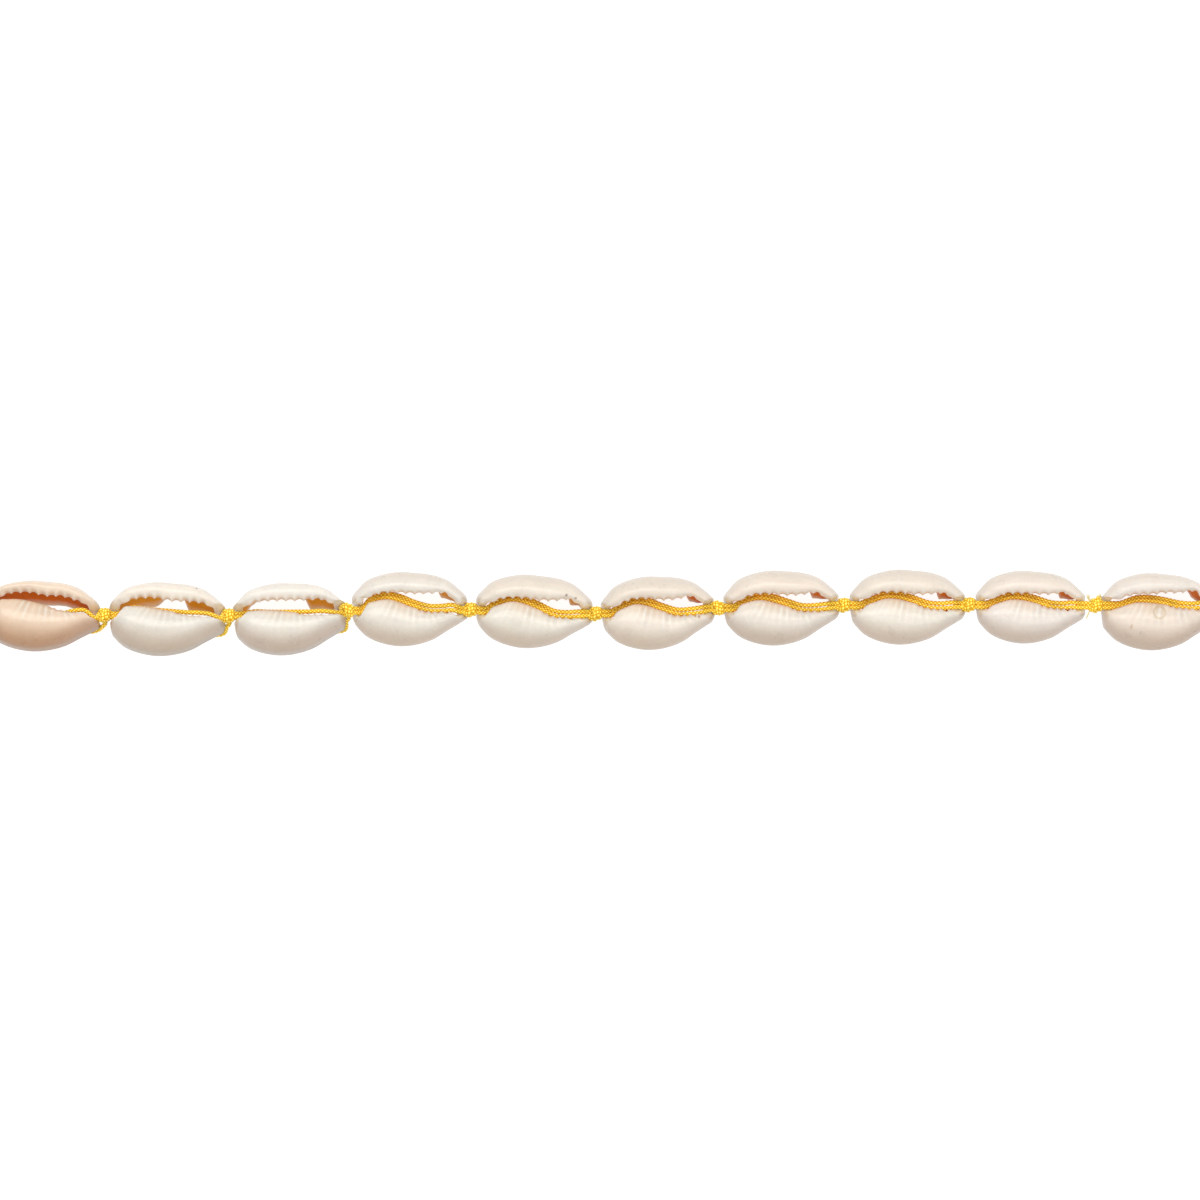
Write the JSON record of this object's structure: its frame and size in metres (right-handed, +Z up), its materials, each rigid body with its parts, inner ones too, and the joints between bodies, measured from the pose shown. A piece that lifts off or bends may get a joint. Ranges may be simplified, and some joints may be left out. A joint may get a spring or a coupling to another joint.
{
  "type": "cowrie shell necklace",
  "caption": "Necklace of cut cowrie shells strung on two strands of golden braided cord, with a knot between every two shells, laid in an open loop.",
  "frame": {"origin": "on the surface that the necklace lies on, at the centre of its box seen from above", "axes": "+X along the straight row of shells, left to right as pictured; +Y from the loop's centre towards that row; +Z up, away from the surface"},
  "size_m": [0.2828, 0.1348, 0.0085],
  "materials": {
    "cowrie_shell": "glossy",
    "braided_cord": "satin"
  },
  "bodies": {
    "root": {"shell_01": "cowrie_shell", "shell_02": "cowrie_shell", "shell_03": "cowrie_shell", "shell_04": "cowrie_shell", "shell_05": "cowrie_shell", "shell_06": "cowrie_shell", "shell_07": "cowrie_shell", "shell_08": "cowrie_shell", "shell_09": "cowrie_shell", "shell_10": "cowrie_shell", "shell_11": "cowrie_shell", "shell_12": "cowrie_shell", "shell_13": "cowrie_shell", "shell_14": "cowrie_shell", "shell_15": "cowrie_shell", "shell_16": "cowrie_shell", "shell_17": "cowrie_shell", "shell_18": "cowrie_shell", "shell_19": "cowrie_shell", "shell_20": "cowrie_shell", "shell_21": "cowrie_shell", "shell_22": "cowrie_shell", "shell_23": "cowrie_shell", "shell_24": "cowrie_shell", "shell_25": "cowrie_shell", "shell_26": "cowrie_shell", "shell_27": "cowrie_shell", "shell_28": "cowrie_shell", "shell_29": "cowrie_shell", "shell_30": "cowrie_shell", "shell_31": "cowrie_shell", "shell_32": "cowrie_shell", "shell_33": "cowrie_shell", "shell_34": "cowrie_shell", "strands": "braided_cord", "knots": "braided_cord", "closing_knot": "braided_cord"}
  },
  "joints": []
}
